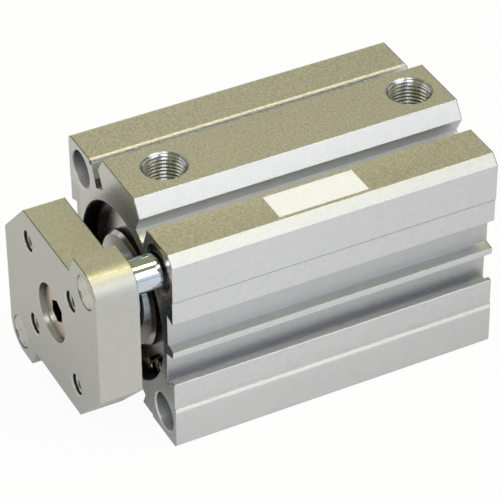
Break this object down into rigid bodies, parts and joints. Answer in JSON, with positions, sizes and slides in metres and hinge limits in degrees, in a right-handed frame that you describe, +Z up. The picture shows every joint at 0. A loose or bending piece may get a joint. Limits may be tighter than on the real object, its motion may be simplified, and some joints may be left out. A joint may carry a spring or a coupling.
{
  "type": "guided pneumatic cylinder",
  "caption": "Compact pneumatic cylinder with a square extruded body and a tool plate on the piston rod, kept from turning by guide rods.",
  "frame": {"origin": "on the cylinder axis, in the plane of the body's front end face, midway between its two mounting holes", "axes": "+Y along the cylinder axis from the tool plate towards the rear, +Z up out of the ports, +X to the right seen from the tool plate"},
  "size_m": [0.052, 0.0965, 0.0562],
  "materials": {
    "anodised_body": "blasted and clear anodised",
    "anodised_plate": "blasted and clear anodised",
    "turned_aluminium": "turned",
    "hard_chrome": "ground and polished",
    "plated_steel": "nickel plated",
    "spring_steel": "plated",
    "bronze": "sintered",
    "black_rubber": "matt",
    "magnet_rubber": "matt",
    "urethane": "satin",
    "wear_plastic": "moulded",
    "label_film": "printed film, blank"
  },
  "bodies": {
    "barrel": {"body": "anodised_body", "rod_cover": "turned_aluminium", "rear_cover": "turned_aluminium", "rod_cover_gasket": "black_rubber", "rear_cover_gasket": "black_rubber", "front_retaining_ring": "spring_steel", "rear_retaining_ring": "spring_steel", "rod_packing": "black_rubber", "rod_bush": "bronze", "front_bumper": "urethane", "rear_bumper": "urethane", "label": "label_film", "guide_wiper_upper": "black_rubber", "guide_wiper_lower": "black_rubber", "guide_bush_upper_front": "bronze", "guide_bush_upper_rear": "bronze", "guide_bush_lower_front": "bronze", "guide_bush_lower_rear": "bronze"},
    "rod": {"tool_plate": "anodised_plate", "centre_screw": "plated_steel", "piston_rod": "hard_chrome", "piston": "turned_aluminium", "piston_seal": "black_rubber", "piston_wear_ring": "wear_plastic", "piston_magnet": "magnet_rubber", "spigot_ring": "black_rubber", "guide_rod_upper": "hard_chrome", "guide_rod_lower": "hard_chrome"}
  },
  "joints": [
    {"name": "rod_slide", "type": "slide", "parent": "barrel", "child": "rod", "axis": [0, -1, 0], "range_m": [0, 0.04]}
  ]
}
